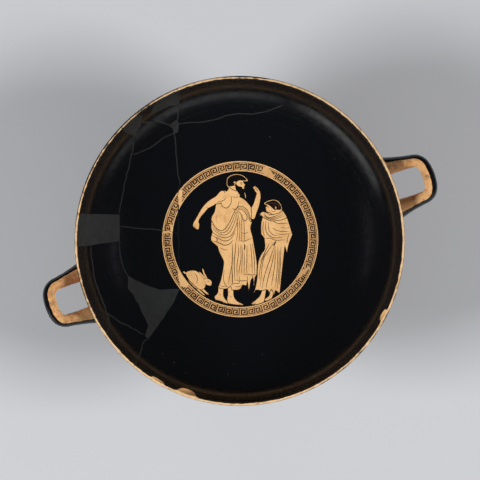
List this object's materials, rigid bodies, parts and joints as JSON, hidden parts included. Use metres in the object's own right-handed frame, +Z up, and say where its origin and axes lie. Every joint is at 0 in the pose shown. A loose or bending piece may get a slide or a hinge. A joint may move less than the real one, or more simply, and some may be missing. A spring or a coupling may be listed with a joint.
{
  "type": "kylix cup",
  "caption": "Shallow drinking cup on a low stem and round foot, with upswept loop handles and a painted picture in the bowl.",
  "frame": {"origin": "centre of the foot's resting plane, on the axis of the bowl", "axes": "+Z up along the axis of the bowl and stem, +X through the middle of one handle, so the handles lie along X"},
  "size_m": [0.3, 0.24, 0.094],
  "materials": {
    "black_gloss": "fired clay with a thin black gloss, worn and repaired, and areas left in the orange of the clay"
  },
  "bodies": {
    "root": {"kylix": "black_gloss"}
  },
  "joints": []
}
